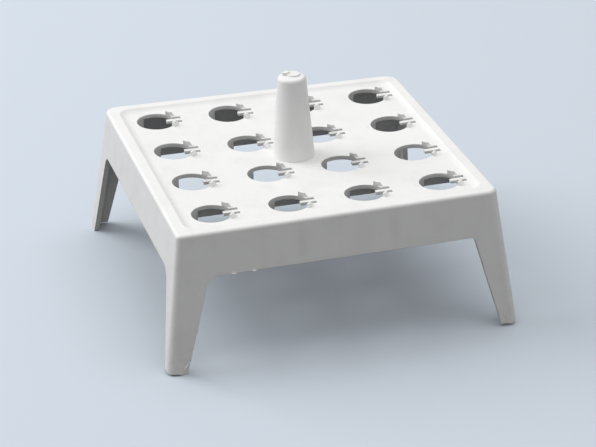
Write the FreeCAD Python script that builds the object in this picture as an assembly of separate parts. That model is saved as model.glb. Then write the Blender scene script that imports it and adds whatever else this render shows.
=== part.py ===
import FreeCAD, Part
import math
import os

# Microcentrifuge tube rack, moulded in one piece: a square top plate on four splayed corner legs,
# a grid of tube holes with a spring finger in each, and a hollow tapered handle post in the middle.
# Millimetres. The origin is the centre of the footprint at the level of the feet, +Z is up,
# -Y is the front and +X the right. Every outer wall leans outward towards the floor by the same draft.

V = FreeCAD.Vector

# driving dimensions: body
WIDTH = 92.0              # across the top edge, left to right
DEPTH = 91.6              # across the top edge, front to back
HEIGHT = 40.0             # floor to the top edge
DRAFT = 0.126             # outward lean of a wall per millimetre of drop
WALL = 1.5                # thickness of skirt and legs
CORNER_R = {              # outside radius of the upright corners, at the top edge and at the floor
    "front_left": (1.6, 2.2),
    "front_right": (3.2, 1.9),
    "rear_left": (3.8, 1.8),
    "rear_right": (4.5, 2.4),
}
INNER_CORNER_R = 0.5      # least radius of their insides
TOP_EDGE_R = 1.0          # rounding between the top and the skirt
UNDER_EDGE_R = 0.5        # and between the walls and the underside
SKIRT = 12.6              # drop of the skirt below the top edge

# driving dimensions: plate
PANEL_DROP = 0.8          # the panel lies this far below the border
PANEL_T = 1.2
BORDER = 2.0              # from the top edge to the upright side of the recess's tool
COVE_R = 3.7              # hollow rounding from the border down to the panel
RECESS_CORNER_R = 5.0
DISH = 1.0                # the panel sags this much at its centre
DISH_MARGIN = 5.7         # the sag starts this far in from the top edge

# driving dimensions: tube holes
HOLE_COUNT = 4            # holes along each side of the grid
PITCH = 22.0
HOLE_R = 5.73
FINGER_W = 1.4
FINGER_TIP = 3.2          # distance of the finger's tip from the hole's centre
FINGER_T = 0.85
SLIT_W = 1.3              # gap on each side of the finger
SLIT_END = 7.7
LUG_R = (6.9, 6.25)       # outside radius of a lug round the hole's centre, at its foot and at its crest
LUG_SIDE = 3.0            # from the middle of the finger to the face towards it
LUG_REACH = 48.0          # degrees round the hole from the middle of the finger to the far end
LUG_H = 1.15
GUIDE_HALF = 61.5         # degrees each side of the line opposite the finger
GUIDE_T = 0.95
GUIDE_DROP = 5.0          # below the panel's top

# driving dimensions: stiffening ribs, run left to right under the panel
RIB_Y = (-PITCH, PITCH)
RIB_T = 1.2
RIB_FOOT_Z = 33.3

# driving dimensions: handle post
POST_H = 24.5             # above the middle of the panel
POST_BASE_R = 6.15
POST_TOP_R = 4.05
POST_SHOULDER_R = 1.0
POST_LEAN = 0.6           # degrees, towards the left
POST_WALL = 1.4
GATE_R = 1.9              # scar where the moulding was broken from its runner
GATE_AT = (0.6, 0.7)
GATE_H = 0.4
TEAR = [(-2.5, 0.9), (-1.2, 0.8), (-0.3, 1.4), (-0.1, 2.2), (-1.2, 2.5), (-2.1, 1.9)]
TEAR_H = 0.75

# driving dimensions: legs, each an angle of two walls, across (facing front or rear) and along.
# (width at the skirt, width at the foot, fillet into the skirt, rounding of the foot's corner),
# with both widths measured along the wall from the sharp outer corner.
PLAIN_LEG = (9.2, 5.4, 1.6, 0.5)
LEGS = {
    "front_left": {"across": (9.9, 5.6, 3.6, 0.5), "along": (8.4, 3.9, 5.0, 2.4)},
    "front_right": {"across": (9.1, 4.75, 1.3, 0.5), "along": PLAIN_LEG},
    "rear_left": {"across": (8.4, 4.95, 1.6, 0.5), "along": (9.2, 5.4, 3.4, 0.5)},
    "rear_right": {"across": PLAIN_LEG, "along": PLAIN_LEG},
}
FOOT_STEP = 0.3           # the openings' tools widen by this under the feet
CUT_PAST = 3.0            # how far cutting tools run past the faces they cut

# wear: outlines seen from the front, as (x, height above the floor)
WORN_FOOT = [(-52.0, 1.2), (-50.4, 0.6), (-48.0, 0.45), (-46.9, 0.0)]
BROKEN_FOOT = [(44.0, 0.65), (45.9, 0.65), (46.7, 0.95), (47.7, 0.9), (48.9, 0.6), (49.5, 0.8),
               (50.3, 1.4), (53.0, 1.6)]
SHORT_FOOT = [(-49.4, 0.3), (-48.8, 0.6), (-47.0, 0.7), (-44.0, 0.65)]
CHIP = [(-46.8, -1.0), (-46.8, 1.6), (-44.4, 4.2), (-42.0, 4.2), (-42.0, -1.0)]
CHIP_DEPTH = 0.3          # skin lost from the inner corner of the front left foot
FLASH_X = (-31.1, -25.5)  # slivers of moulding flash under the front skirt
FLASH_W = 0.9
FLASH_H = 0.3

SKIRT_Z = HEIGHT - SKIRT
PANEL_Z = HEIGHT - PANEL_DROP
UNDER_Z = PANEL_Z - PANEL_T
DISH_X = WIDTH / 2 - DISH_MARGIN
DISH_Y = DEPTH / 2 - DISH_MARGIN
SLOPED_WALL = WALL * math.hypot(1, DRAFT)


def half_width(z):
    """Half the outer width at height z."""
    return WIDTH / 2 + DRAFT * (HEIGHT - z)


def half_depth(z):
    """Half the outer depth at height z."""
    return DEPTH / 2 + DRAFT * (HEIGHT - z)


def panel_height(x, y):
    """Height of the dished panel's top at (x, y)."""
    return PANEL_Z - DISH * (1 - (x / DISH_X) ** 2) * (1 - (y / DISH_Y) ** 2)


def hole_centres():
    """Centres of the tube holes, row by row from the front."""
    places = [(i - (HOLE_COUNT - 1) / 2) * PITCH for i in range(HOLE_COUNT)]
    return [(x, y) for y in places for x in places]


def upright_edges(shape):
    """Edges that climb from one level to another."""
    return [e for e in shape.Edges if e.BoundBox.ZLength > 1]


def drafted_block(inset, z_low, z_high):
    """Block with the outer walls' lean and rounded corners, each wall moved in by inset."""
    x_low, x_high = half_width(z_low) - inset, half_width(z_high) - inset
    y_low, y_high = half_depth(z_low) - inset, half_depth(z_high) - inset
    block = Part.makeWedge(-x_low, z_low, -y_low, -y_high, -x_high,
                           x_low, z_high, y_low, y_high, x_high)
    block.rotate(V(0, 0, 0), V(1, 0, 0), 90)
    for name, (top_r, foot_r) in CORNER_R.items():
        x, y = (-x_low if "left" in name else x_low), (-y_low if "front" in name else y_low)
        edge = min(upright_edges(block), key=lambda e: (e.valueAt(e.FirstParameter) - V(x, y, z_low)).Length)
        radii = [foot_r + (top_r - foot_r) * z / HEIGHT - inset for z in (z_low, z_high)]
        block = block.makeFillet(max(radii[0], INNER_CORNER_R), max(radii[1], INNER_CORNER_R), [edge])
    return block


def level_edges(shape, z):
    """Edges that lie wholly at height z."""
    return [e for e in shape.Edges if abs(e.BoundBox.ZMin - z) < 1e-4 and abs(e.BoundBox.ZMax - z) < 1e-4]


def outer_block():
    """Outside of the rack as a full block, floor to top."""
    block = drafted_block(0, 0, HEIGHT)
    return block.makeFillet(TOP_EDGE_R, level_edges(block, HEIGHT))


def cavity():
    """Hollow under the plate and between the walls."""
    block = drafted_block(SLOPED_WALL, -CUT_PAST, UNDER_Z)
    return block.makeFillet(UNDER_EDGE_R, level_edges(block, UNDER_Z))


def recess():
    """Tool that sinks the panel below the border, with a hollow rounding all round."""
    x = WIDTH / 2 - BORDER
    y = DEPTH / 2 - BORDER
    block = Part.makeBox(2 * x, 2 * y, 3 * COVE_R, V(-x, -y, PANEL_Z))
    block = block.makeFillet(RECESS_CORNER_R, upright_edges(block))
    return block.makeFillet(COVE_R, level_edges(block, PANEL_Z))


def dish(z):
    """Lens with a flat square lid at height z and a sagging bottom, deepest in the middle."""
    patch = Part.BezierSurface()
    patch.increase(2, 2)
    for i in range(3):
        for j in range(3):
            drop = 4 * DISH if i == 1 and j == 1 else 0
            patch.setPole(i + 1, j + 1, V((i - 1) * DISH_X, (j - 1) * DISH_Y, z - drop))
    sag = patch.toShape()
    lid = Part.Face(Part.Wire(Part.__sortEdges__(sag.Edges)))
    solid = Part.Solid(Part.Shell([sag, lid]))
    if solid.Volume < 0:
        solid.reverse()
    return solid


def rounded_polygon(points, radii):
    """Closed wire through points, each corner rounded by an arc of its own radius, none where it is 0."""
    edges = []
    starts, ends = [], []
    for i, corner in enumerate(points):
        before = (points[i - 1] - corner).normalize()
        after = (points[(i + 1) % len(points)] - corner).normalize()
        reach = radii[i] / math.tan(before.getAngle(after) / 2) if radii[i] else 0
        starts.append(corner + before * reach)
        ends.append(corner + after * reach)
    for i, corner in enumerate(points):
        if radii[i]:
            inward = ((starts[i] + ends[i]) * 0.5 - corner).normalize()
            half_angle = (starts[i] - corner).getAngle(inward)
            to_arc = radii[i] / math.sin(half_angle) - radii[i]
            edges.append(Part.Arc(starts[i], corner + inward * to_arc, ends[i]).toShape())
        edges.append(Part.makeLine(ends[i], starts[(i + 1) % len(points)]))
    return Part.Wire(edges)


def arch(near, far, half, place):
    """Opening between two legs of one wall.

    near and far are the legs at the low and high end of the wall, half gives the wall's half length
    at a height, and place puts (distance along the wall, z) in space.
    """
    points, radii = [], []
    for sign, (top_w, foot_w, fillet, foot_r) in ((1, far), (-1, near)):
        foot = half(0) - foot_w
        skirt = half(SKIRT_Z) - top_w
        past = foot + foot_r + FOOT_STEP
        side = [(past, -CUT_PAST, 0), (past, 0, 0), (foot, 0, foot_r), (skirt, SKIRT_Z, fillet)]
        if sign < 0:
            side.reverse()
        points += [place(sign * d, z) for d, z, r in side]
        radii += [r for d, z, r in side]
    return Part.Face(rounded_polygon(points, radii))


def arches():
    """Cutting tools for the four openings between the legs."""
    reach = half_width(0) / 2
    wide = half_width(0) + CUT_PAST
    tools = []
    for side, row in ((-1, "front"), (1, "rear")):
        left, right = LEGS[row + "_left"]["across"], LEGS[row + "_right"]["across"]
        face = arch(left, right, half_width, lambda d, z: V(d, side * wide, z))
        tools.append(face.extrude(V(0, -side * reach, 0)))
    for side, column in ((-1, "left"), (1, "right")):
        front, rear = LEGS["front_" + column]["along"], LEGS["rear_" + column]["along"]
        face = arch(front, rear, half_depth, lambda d, z: V(side * wide, d, z))
        tools.append(face.extrude(V(-side * reach, 0, 0)))
    return tools


def leg_prism(outline, side):
    """Prism through the front legs (side -1) or the rear ones (side 1) with the given (x, z) outline."""
    points = [V(x, side * (half_depth(0) + CUT_PAST), z) for x, z in outline]
    return Part.Face(Part.makePolygon(points + points[:1])).extrude(V(0, -side * 4 * CUT_PAST, 0))


def wear():
    """Cutting tools for the worn, broken and short feet."""
    tools = []
    for outline, side in ((WORN_FOOT, -1), (BROKEN_FOOT, -1), (SHORT_FOOT, 1)):
        below = [(outline[-1][0], -CUT_PAST), (outline[0][0], -CUT_PAST)]
        tools.append(leg_prism(outline + below, side))
    tools.append(leg_prism(CHIP, -1).cut(drafted_block(CHIP_DEPTH, -CUT_PAST, HEIGHT)))
    return tools


def flash():
    """Slivers of flash left on the lower edge of the front skirt."""
    front = -half_depth(SKIRT_Z)
    slivers = []
    for x in FLASH_X:
        outline = [V(x, front - FLASH_H / 3, SKIRT_Z + FLASH_H), V(x, front + FLASH_H, SKIRT_Z + FLASH_H),
                   V(x, front + FLASH_H / 2, SKIRT_Z - FLASH_H)]
        slivers.append(Part.Face(Part.makePolygon(outline + outline[:1])).extrude(V(FLASH_W, 0, 0)))
    return slivers


def lugs(x, y):
    """Two low lugs on the rim, one each side of the finger and square on the side towards it."""
    z = panel_height(x, y)
    root = PANEL_T / 3
    foot, crest = LUG_R
    ring = Part.makeCone(foot, crest, LUG_H, V(x, y, z))
    ring = ring.fuse(Part.makeCylinder(foot, root, V(x, y, z - root)))
    reach = math.tan(math.radians(LUG_REACH))
    pair = []
    for side in (-1, 1):
        corners = [(LUG_SIDE / reach, LUG_SIDE), (2 * foot, LUG_SIDE), (2 * foot, 2 * foot * reach)]
        points = [V(x + along, y + side * across, z - root) for along, across in corners]
        wedge = Part.Face(Part.makePolygon(points + points[:1])).extrude(V(0, 0, root + LUG_H))
        pair.append(ring.common(wedge))
    return pair


def guide(x, y):
    """Band below the rim, opposite the finger, that keeps the tube upright."""
    z = panel_height(x, y)
    tall = GUIDE_DROP - PANEL_T / 3
    foot = V(x, y, z - GUIDE_DROP)
    band = Part.makeCylinder(HOLE_R + GUIDE_T, tall, foot, V(0, 0, 1), 2 * GUIDE_HALF)
    band = band.cut(Part.makeCylinder(HOLE_R / 2, tall, foot))
    band.rotate(foot, V(0, 0, 1), 180 - GUIDE_HALF)
    return band


def ribs():
    """Ribs under the panel, between the outer rows of holes and the inner ones."""
    half = half_width(RIB_FOOT_Z) - WALL / 2
    tall = UNDER_Z - DISH / 2 - RIB_FOOT_Z
    return [Part.makeBox(2 * half, RIB_T, tall, V(-half, y - RIB_T / 2, RIB_FOOT_Z)) for y in RIB_Y]


def hole_tool(x, y):
    """Cutting tool for one hole with its two slits, leaving the finger that points at its centre."""
    low = UNDER_Z - 3 * GUIDE_DROP
    tall = HEIGHT + CUT_PAST - low
    slot_half = FINGER_W / 2 + SLIT_W
    tool = Part.makeCylinder(HOLE_R, tall, V(x, y, low))
    slot = Part.makeBox(SLIT_END, 2 * slot_half, tall, V(x, y - slot_half, low))
    under = panel_height(x + HOLE_R, y) - FINGER_T
    finger = Part.makeBox(SLIT_END, FINGER_W, tall, V(x + FINGER_TIP, y - FINGER_W / 2, under))
    return tool.fuse(slot).cut(finger)


def leaning(shape):
    """The post or its hollow, tipped about the middle of the panel."""
    shape.rotate(V(0, 0, panel_height(0, 0)), V(0, 1, 0), -POST_LEAN)
    return shape


def post():
    """Tapered handle post with a rounded shoulder and the torn scar of its gate."""
    middle = panel_height(0, 0)
    crown = middle + POST_H
    taper = (POST_BASE_R - POST_TOP_R) / POST_H
    root = PANEL_T / 2
    cone = Part.makeCone(POST_BASE_R + taper * root, POST_TOP_R, POST_H + root, V(0, 0, middle - root))
    cone = cone.makeFillet(POST_SHOULDER_R, level_edges(cone, crown))
    scar = Part.makeCylinder(GATE_R, 2 * GATE_H, V(*GATE_AT, crown - GATE_H))
    base = [V(x, y, crown - GATE_H) for x, y in TEAR]
    tear = Part.Face(Part.makePolygon(base + base[:1])).extrude(V(0, 0, GATE_H + TEAR_H))
    return leaning(cone.fuse([scar, tear]))


def post_core():
    """Hollow of the post, open below."""
    low = UNDER_Z - 2 * DISH
    top = panel_height(0, 0) + POST_H - POST_WALL
    taper = (POST_BASE_R - POST_TOP_R) / POST_H
    r_low = POST_BASE_R - POST_WALL + taper * (panel_height(0, 0) - low)
    core = Part.makeCone(r_low, r_low - taper * (top - low), top - low, V(0, 0, low))
    return leaning(core.makeFillet(POST_SHOULDER_R / 2, level_edges(core, top)))


def rack():
    """The whole moulding."""
    body = outer_block().cut(cavity()).cut(recess())
    body = body.cut(dish(PANEL_Z)).fuse(dish(UNDER_Z))
    body = body.cut(arches()).cut(wear())
    extras = [post()] + ribs() + flash()
    for x, y in hole_centres():
        extras += lugs(x, y) + [guide(x, y)]
    body = body.fuse(extras)
    body = body.cut([hole_tool(x, y) for x, y in hole_centres()] + [post_core()])
    return body.removeSplitter()


os.makedirs("parts", exist_ok=True)
shape = rack()
print("rack: valid", shape.isValid(), "solids", len(shape.Solids), "faces", len(shape.Faces),
      "volume", round(shape.Volume), "box", shape.BoundBox)
shape.exportStep("parts/rack.step")
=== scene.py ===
import math

import bpy
from mathutils import Matrix, Vector


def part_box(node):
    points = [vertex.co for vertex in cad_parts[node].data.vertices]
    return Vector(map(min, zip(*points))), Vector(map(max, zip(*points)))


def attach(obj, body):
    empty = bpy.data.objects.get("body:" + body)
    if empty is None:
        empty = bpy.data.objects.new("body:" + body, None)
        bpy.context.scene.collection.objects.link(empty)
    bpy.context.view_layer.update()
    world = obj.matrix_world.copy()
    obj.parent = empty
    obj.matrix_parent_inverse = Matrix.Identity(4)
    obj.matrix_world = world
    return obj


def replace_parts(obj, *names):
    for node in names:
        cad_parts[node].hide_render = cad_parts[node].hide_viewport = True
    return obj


# Microcentrifuge tube rack, a single white moulding. Metres and degrees; -Y is the front, +X the right.

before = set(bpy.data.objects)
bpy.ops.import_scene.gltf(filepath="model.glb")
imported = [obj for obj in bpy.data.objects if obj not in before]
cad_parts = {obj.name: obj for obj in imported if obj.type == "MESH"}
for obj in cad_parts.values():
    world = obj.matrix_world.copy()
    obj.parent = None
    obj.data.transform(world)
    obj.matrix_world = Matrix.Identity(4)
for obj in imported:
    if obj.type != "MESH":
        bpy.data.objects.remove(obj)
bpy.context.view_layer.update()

# camera: azimuth 0 looks along +Y, and elevation looks down
CAMERA_PLACE = (-0.17412, -0.60693, 0.32032)
CAMERA_AZIMUTH = -16.10
CAMERA_ELEVATION = 25.74
CAMERA_ROLL = -0.72
LENS = 144.18

# floor and light
FLOOR_SEEN = (0.60, 0.66, 0.73, 1.0)
FLOOR_BOUNCE = (0.045, 0.045, 0.045, 1.0)
WORLD_LIGHT = 0.48
LIGHT_AIM = (0, 0, 0.03)
KEY = {"place": (-0.995, 0.70, 0.85), "size": 1.3, "watts": 14.0}
TOP = {"place": (0.2, 0.1, 1.6), "size": 1.8, "watts": 9.7}

# the real rack is slightly warped: opposite corners of its plate lift and drop by this much
TWIST = 0.00038
PLATE_HALF = 0.046
PLATE_TOP = 0.040

# colours of the plastic, and its index of refraction
PLASTIC = (0.87, 0.87, 0.865, 1.0)
PLASTIC_DULL = (0.82, 0.82, 0.81, 1.0)
SCUFFED = (0.66, 0.66, 0.65, 1.0)
DARK_GREY = (0.58, 0.57, 0.54, 1.0)
# painted shade for the walls of the holes, standing in for their occlusion
PAINTED_HOLE_SHADE = (0.60, 0.60, 0.59, 1.0)
WHITENED = (0.95, 0.95, 0.945, 1.0)
IOR = 1.49

# depths of the bumps in its surface, and the rounding of its edges
SINK_DEPTH = 0.00012
WAVE_DEPTH = 0.00010
GRAIN_DEPTH = 0.000012
TORN_GRAIN_DEPTH = 0.00004
EDGE_ROUNDING = 0.00018

# places on the rack
PITCH = 0.022
HOLE_RADIUS = 0.00573
UNDER_RIM = 0.0391          # the painted shade on the hole walls is only below this
PANEL_LEVEL = 0.0365        # the sinks are only on what lies above this
FRONT_WALL = -0.0445        # and the marks only on what lies in front of this
SKIRT_FOOT = 0.0274
DRAFT = 0.126               # outward lean of a wall per unit of drop
SINK_OFFSET = 0.0063        # from a hole's centre, to the left
SINK_RADIUS = 0.0017
DARK_MARKS_X = (-0.0113, 0.0154)
DARK_MARKS_Z = 0.034
DARK_MARK_RADIUS = 0.0028
SPECK = (0.00145, 0.0387)
SPECK_RADIUS = 0.0004
DARKER_FEET_TOP = 0.014

# torn and squeezed edges on the front wall, as lines of (x, z)
FLASH = [[(-0.0316, SKIRT_FOOT), (-0.0308, SKIRT_FOOT), (-0.0301, SKIRT_FOOT)],
         [(-0.0259, SKIRT_FOOT), (-0.0251, SKIRT_FOOT), (-0.0244, SKIRT_FOOT)]]
FLASH_REACH = 0.00036
FOOT_TEAR = [[(-0.0468, 0.0009), (-0.0463, 0.0017), (-0.0458, 0.0024), (-0.0452, 0.0031),
              (-0.0446, 0.0038)]]
TEAR_REACH = 0.00026
BURR_SECTION = [(-0.3, 1.0), (1.0, -0.3), (-0.3, -0.7)]  # out of the wall, and across the line
BURR_TAPER = 0.25           # size at a burr's ends, as a part of its size in the middle


def add_camera():
    """Camera at the angle the rack is best seen from."""
    az, el, roll = (math.radians(a) for a in (CAMERA_AZIMUTH, CAMERA_ELEVATION, CAMERA_ROLL))
    back = Vector((math.sin(az) * math.cos(el), -math.cos(az) * math.cos(el), math.sin(el)))
    right = (-back).cross(Vector((0, 0, 1))).normalized()
    up = right.cross(-back)
    rolled_right = math.cos(roll) * right + math.sin(roll) * up
    rolled_up = math.cos(roll) * up - math.sin(roll) * right
    data = bpy.data.cameras.new("camera")
    data.lens = LENS
    data.sensor_width = 36
    data.clip_end = 20
    camera = bpy.data.objects.new("camera", data)
    turn = Matrix((rolled_right, rolled_up, back)).transposed()
    camera.matrix_world = Matrix.Translation(CAMERA_PLACE) @ turn.to_4x4()
    bpy.context.scene.collection.objects.link(camera)
    bpy.context.scene.camera = camera


class Nodes:
    """Short names for building one material's node tree."""

    def __init__(self, name):
        self.material = bpy.data.materials.new(name)
        self.material.use_nodes = True
        self.tree = self.material.node_tree
        self.shader = self.tree.nodes["Principled BSDF"]

    def plug(self, socket, value):
        if isinstance(value, bpy.types.NodeSocket):
            self.tree.links.new(value, socket)
        else:
            socket.default_value = value

    def math(self, operation, a, b=0.0, c=0.0):
        node = self.tree.nodes.new("ShaderNodeMath")
        node.operation = operation
        for socket, value in zip(node.inputs, (a, b, c)):
            self.plug(socket, value)
        return node.outputs["Value"]

    def times(self, *values):
        """Product of all the values."""
        product = values[0]
        for value in values[1:]:
            product = self.math("MULTIPLY", product, value)
        return product

    def smooth(self, value, low, high):
        """0 where value is below low, 1 above high, and smooth between."""
        node = self.tree.nodes.new("ShaderNodeMapRange")
        node.interpolation_type = "SMOOTHSTEP"
        self.plug(node.inputs["Value"], value)
        node.inputs["From Min"].default_value = low
        node.inputs["From Max"].default_value = high
        return node.outputs["Result"]

    def noise(self, place, scale, detail=2.0, roughness=0.5):
        node = self.tree.nodes.new("ShaderNodeTexNoise")
        self.plug(node.inputs["Vector"], place)
        node.inputs["Scale"].default_value = scale
        node.inputs["Detail"].default_value = detail
        node.inputs["Roughness"].default_value = roughness
        return node.outputs["Fac"]

    def stretch(self, place, factors):
        node = self.tree.nodes.new("ShaderNodeVectorMath")
        node.operation = "MULTIPLY"
        self.plug(node.inputs[0], place)
        node.inputs[1].default_value = factors
        return node.outputs["Vector"]

    def mix(self, amount, a, b):
        node = self.tree.nodes.new("ShaderNodeMix")
        node.data_type = "RGBA"
        self.plug(node.inputs["Factor"], amount)
        self.plug(node.inputs["A"], a)
        self.plug(node.inputs["B"], b)
        return node.outputs["Result"]

    def bump(self, height, distance, normal=None):
        node = self.tree.nodes.new("ShaderNodeBump")
        node.inputs["Distance"].default_value = distance
        self.plug(node.inputs["Height"], height)
        if normal:
            self.plug(node.inputs["Normal"], normal)
        return node.outputs["Normal"]

    def place(self):
        """Position on the object, in its own coordinates."""
        return self.tree.nodes.new("ShaderNodeTexCoord").outputs["Object"]

    def separate(self, place):
        node = self.tree.nodes.new("ShaderNodeSeparateXYZ")
        self.plug(node.inputs[0], place)
        return node.outputs["X"], node.outputs["Y"], node.outputs["Z"]

    def from_hole(self, along):
        """Distance along x or y from the centre of the nearest hole."""
        return self.math("WRAP", self.math("ADD", along, -PITCH / 2), PITCH / 2, -PITCH / 2)

    def spot(self, offsets, radius):
        """1 at the middle of a soft spot and 0 beyond radius, from its (offset, squash) pairs."""
        total = 0.0
        for offset, squash in offsets:
            scaled = self.math("MULTIPLY", offset, squash)
            total = self.math("MULTIPLY_ADD", scaled, scaled, total)
        return self.smooth(self.math("SQRT", total), radius, 0.0)


def add_floor():
    """Plain pale floor that throws less light back than it shows."""
    bpy.ops.mesh.primitive_plane_add(size=12, location=(0, 0, 0))
    floor = bpy.context.object
    floor.name = "floor"
    n = Nodes("floor")
    n.shader.inputs["Roughness"].default_value = 0.9
    n.shader.inputs["Specular IOR Level"].default_value = 0.1
    path = n.tree.nodes.new("ShaderNodeLightPath")
    seen = n.math("MAXIMUM", path.outputs["Is Camera Ray"], path.outputs["Is Glossy Ray"])
    seen = n.math("MAXIMUM", seen, path.outputs["Is Transmission Ray"])
    n.plug(n.shader.inputs["Base Color"], n.mix(seen, FLOOR_BOUNCE, FLOOR_SEEN))
    floor.data.materials.append(n.material)


def add_area(name, place, size, watts):
    data = bpy.data.lights.new(name, "AREA")
    data.shape = "DISK"
    data.size = size
    data.energy = watts
    lamp = bpy.data.objects.new(name, data)
    lamp.location = place
    lamp.rotation_euler = (Vector(LIGHT_AIM) - Vector(place)).to_track_quat("-Z", "Y").to_euler()
    bpy.context.scene.collection.objects.link(lamp)


def add_world():
    world = bpy.data.worlds.new("world")
    world.use_nodes = True
    background = world.node_tree.nodes["Background"]
    background.inputs["Color"].default_value = (1, 1, 1, 1)
    background.inputs["Strength"].default_value = WORLD_LIGHT
    bpy.context.scene.world = world


def mottled(n, place, mottle):
    """Base colour, with flow lines that run down the walls."""
    flow = n.noise(n.stretch(place, (1.0, 1.0, 0.12)), scale=160)
    dull = n.math("MULTIPLY_ADD", mottle, 0.55, n.times(flow, 0.45))
    return n.mix(n.smooth(dull, low=0.42, high=0.72), PLASTIC, PLASTIC_DULL)


def front_marks(n, place, color):
    """Two soft darker marks and a speck on the front skirt."""
    x, y, z = n.separate(place)
    front = n.smooth(y, FRONT_WALL, FRONT_WALL - 0.0015)
    down = n.math("SUBTRACT", z, DARK_MARKS_Z)
    for mark_x in DARK_MARKS_X:
        mark = n.spot([(n.math("SUBTRACT", x, mark_x), 1.0), (down, 0.35)], DARK_MARK_RADIUS)
        color = n.mix(n.times(mark, front, 0.25), color, SCUFFED)
    aside, above = (n.math("SUBTRACT", along, middle) for along, middle in zip((x, z), SPECK))
    speck = n.spot([(aside, 1.0), (above, 1.0)], SPECK_RADIUS)
    return n.mix(n.times(speck, front, 0.5), color, DARK_GREY)


def painted_hole_shade(n, place, mottle, color):
    """Painted shade: the walls of the holes darkened in colour below the rims, where they lie in shade.
    """
    x, y, z = n.separate(place)
    hole_x, hole_y = n.from_hole(x), n.from_hole(y)
    radius = n.math("SQRT", n.math("MULTIPLY_ADD", hole_x, hole_x, n.times(hole_y, hole_y)))
    inside = n.smooth(radius, low=1.012 * HOLE_RADIUS, high=1.003 * HOLE_RADIUS)
    below = n.smooth(z, UNDER_RIM, UNDER_RIM - 0.0006)
    patchy = n.math("MULTIPLY_ADD", mottle, 0.5, 0.5)
    return n.mix(n.times(inside, below, patchy), color, PAINTED_HOLE_SHADE)


# Darker patches on the plastic towards the feet, below DARKER_FEET_TOP.
def darker_feet(n, place, color):
    z = n.separate(place)[2]
    patches = n.smooth(n.noise(place, scale=420, detail=5, roughness=0.65), low=0.42, high=0.75)
    return n.mix(n.times(n.smooth(z, DARKER_FEET_TOP, 0.0), patches, 0.4), color, DARK_GREY)


def moulded_surface(n, place):
    """Sinks beside the holes, over the roots of the guides, then waviness, grain and rounded edges."""
    x, y, z = n.separate(place)
    sink = n.spot([(n.math("ADD", n.from_hole(x), SINK_OFFSET), 1.8), (n.from_hole(y), 0.8)], SINK_RADIUS)
    sink = n.times(sink, n.smooth(z, PANEL_LEVEL, PANEL_LEVEL + 0.001))
    normal = n.bump(n.math("SUBTRACT", 1.0, sink), SINK_DEPTH)
    normal = n.bump(n.noise(place, scale=260, detail=3), WAVE_DEPTH, normal)
    normal = n.bump(n.noise(place, scale=1400, detail=3, roughness=0.6), GRAIN_DEPTH, normal)
    edges = n.tree.nodes.new("ShaderNodeBevel")
    edges.samples = 8
    edges.inputs["Radius"].default_value = EDGE_ROUNDING
    n.plug(edges.inputs["Normal"], normal)
    return edges.outputs["Normal"]


def white_plastic():
    """Old white polypropylene: satin, mottled and scuffed, with painted shade in the holes and darker
    patches towards the feet.
    """
    n = Nodes("white_plastic")
    place = n.place()
    mottle = n.noise(place, scale=110, detail=4, roughness=0.6)
    scuffs = n.noise(n.stretch(place, (1.0, 0.12, 1.0)), scale=1500, detail=3, roughness=0.7)
    scuffs = n.smooth(scuffs, low=0.66, high=0.76)

    color = mottled(n, place, mottle)
    color = front_marks(n, place, color)
    # painted shade on the hole walls
    color = painted_hole_shade(n, place, mottle, color)
    color = darker_feet(n, place, color)
    color = n.mix(n.times(scuffs, 0.35), color, SCUFFED)
    n.plug(n.shader.inputs["Base Color"], color)
    n.plug(n.shader.inputs["Normal"], moulded_surface(n, place))
    roughness = n.math("MULTIPLY_ADD", mottle, 0.16, 0.42)
    n.plug(n.shader.inputs["Roughness"], n.math("MULTIPLY_ADD", scuffs, 0.15, roughness))
    n.shader.inputs["IOR"].default_value = IOR
    return n.material


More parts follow.
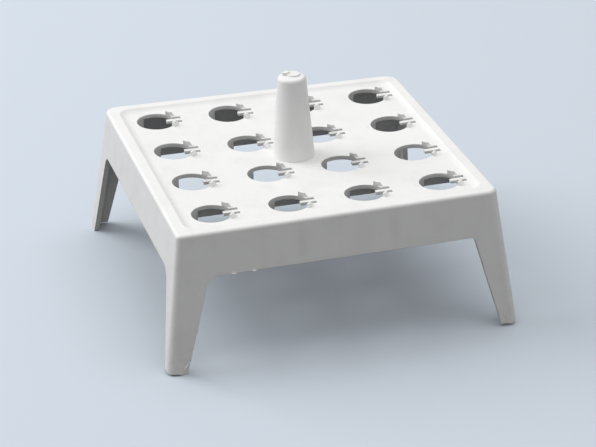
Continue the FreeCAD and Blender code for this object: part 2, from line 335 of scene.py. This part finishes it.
def whitened_plastic():
    """The same plastic where it was torn or squeezed thin, which turns it whiter and rougher."""
    n = Nodes("whitened_plastic")
    grain = n.noise(n.place(), scale=3000, detail=3, roughness=0.6)
    n.plug(n.shader.inputs["Base Color"], n.mix(n.smooth(grain, low=0.35, high=0.65), PLASTIC, WHITENED))
    n.plug(n.shader.inputs["Roughness"], n.math("MULTIPLY_ADD", grain, 0.2, 0.5))
    n.plug(n.shader.inputs["Normal"], n.bump(grain, TORN_GRAIN_DEPTH))
    n.shader.inputs["IOR"].default_value = IOR
    return n.material


def warp(mesh):
    """Twist a mesh as the real plate is twisted, fading to nothing at the feet."""
    for vertex in mesh.vertices:
        x, y, z = vertex.co
        vertex.co.z -= TWIST * x * y / PLATE_HALF ** 2 * min(z / PLATE_TOP, 1)


def add_piece(name, mesh):
    warp(mesh)
    piece = bpy.data.objects.new(name, mesh)
    bpy.context.scene.collection.objects.link(piece)
    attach(piece, "root")
    return piece


def add_rack():
    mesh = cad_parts["rack"].data.copy()
    mesh.materials.clear()
    mesh.materials.append(white_plastic())
    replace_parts(add_piece("tube_rack", mesh), "rack")


def add_burrs(name, lines, reach, material):
    """Thin lips of plastic along lines of (x, z) on the front wall, tapering to their ends."""
    wall_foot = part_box("rack")[0][1]
    corners = len(BURR_SECTION)
    vertices, faces = [], []
    for line in lines:
        first = len(vertices)
        last = len(line) - 1
        for i, (x, z) in enumerate(line):
            along = (Vector(line[min(i + 1, last)]) - Vector(line[max(i - 1, 0)])).normalized()
            size = reach * (BURR_TAPER + (1 - BURR_TAPER) * math.sin(math.pi * i / last))
            wall = wall_foot + DRAFT * z
            vertices += [(x - size * across * along.y, wall - size * out, z + size * across * along.x)
                         for out, across in BURR_SECTION]
        for start in range(first, len(vertices) - corners, corners):
            for a in range(corners):
                b = (a + 1) % corners
                faces.append([start + a, start + b, start + b + corners, start + a + corners])
        faces.append([first + a for a in reversed(range(corners))])
        faces.append([first + corners * last + a for a in range(corners)])
    mesh = bpy.data.meshes.new(name)
    mesh.from_pydata(vertices, [], faces)
    mesh.materials.append(material)
    add_piece(name, mesh)


add_camera()
add_floor()
add_world()
add_area("key", **KEY)
add_area("top", **TOP)
add_rack()
whitened = whitened_plastic()
add_burrs("skirt_flash", FLASH, FLASH_REACH, whitened)
add_burrs("foot_tear", FOOT_TEAR, TEAR_REACH, whitened)
bpy.context.scene.view_settings.view_transform = "Standard"
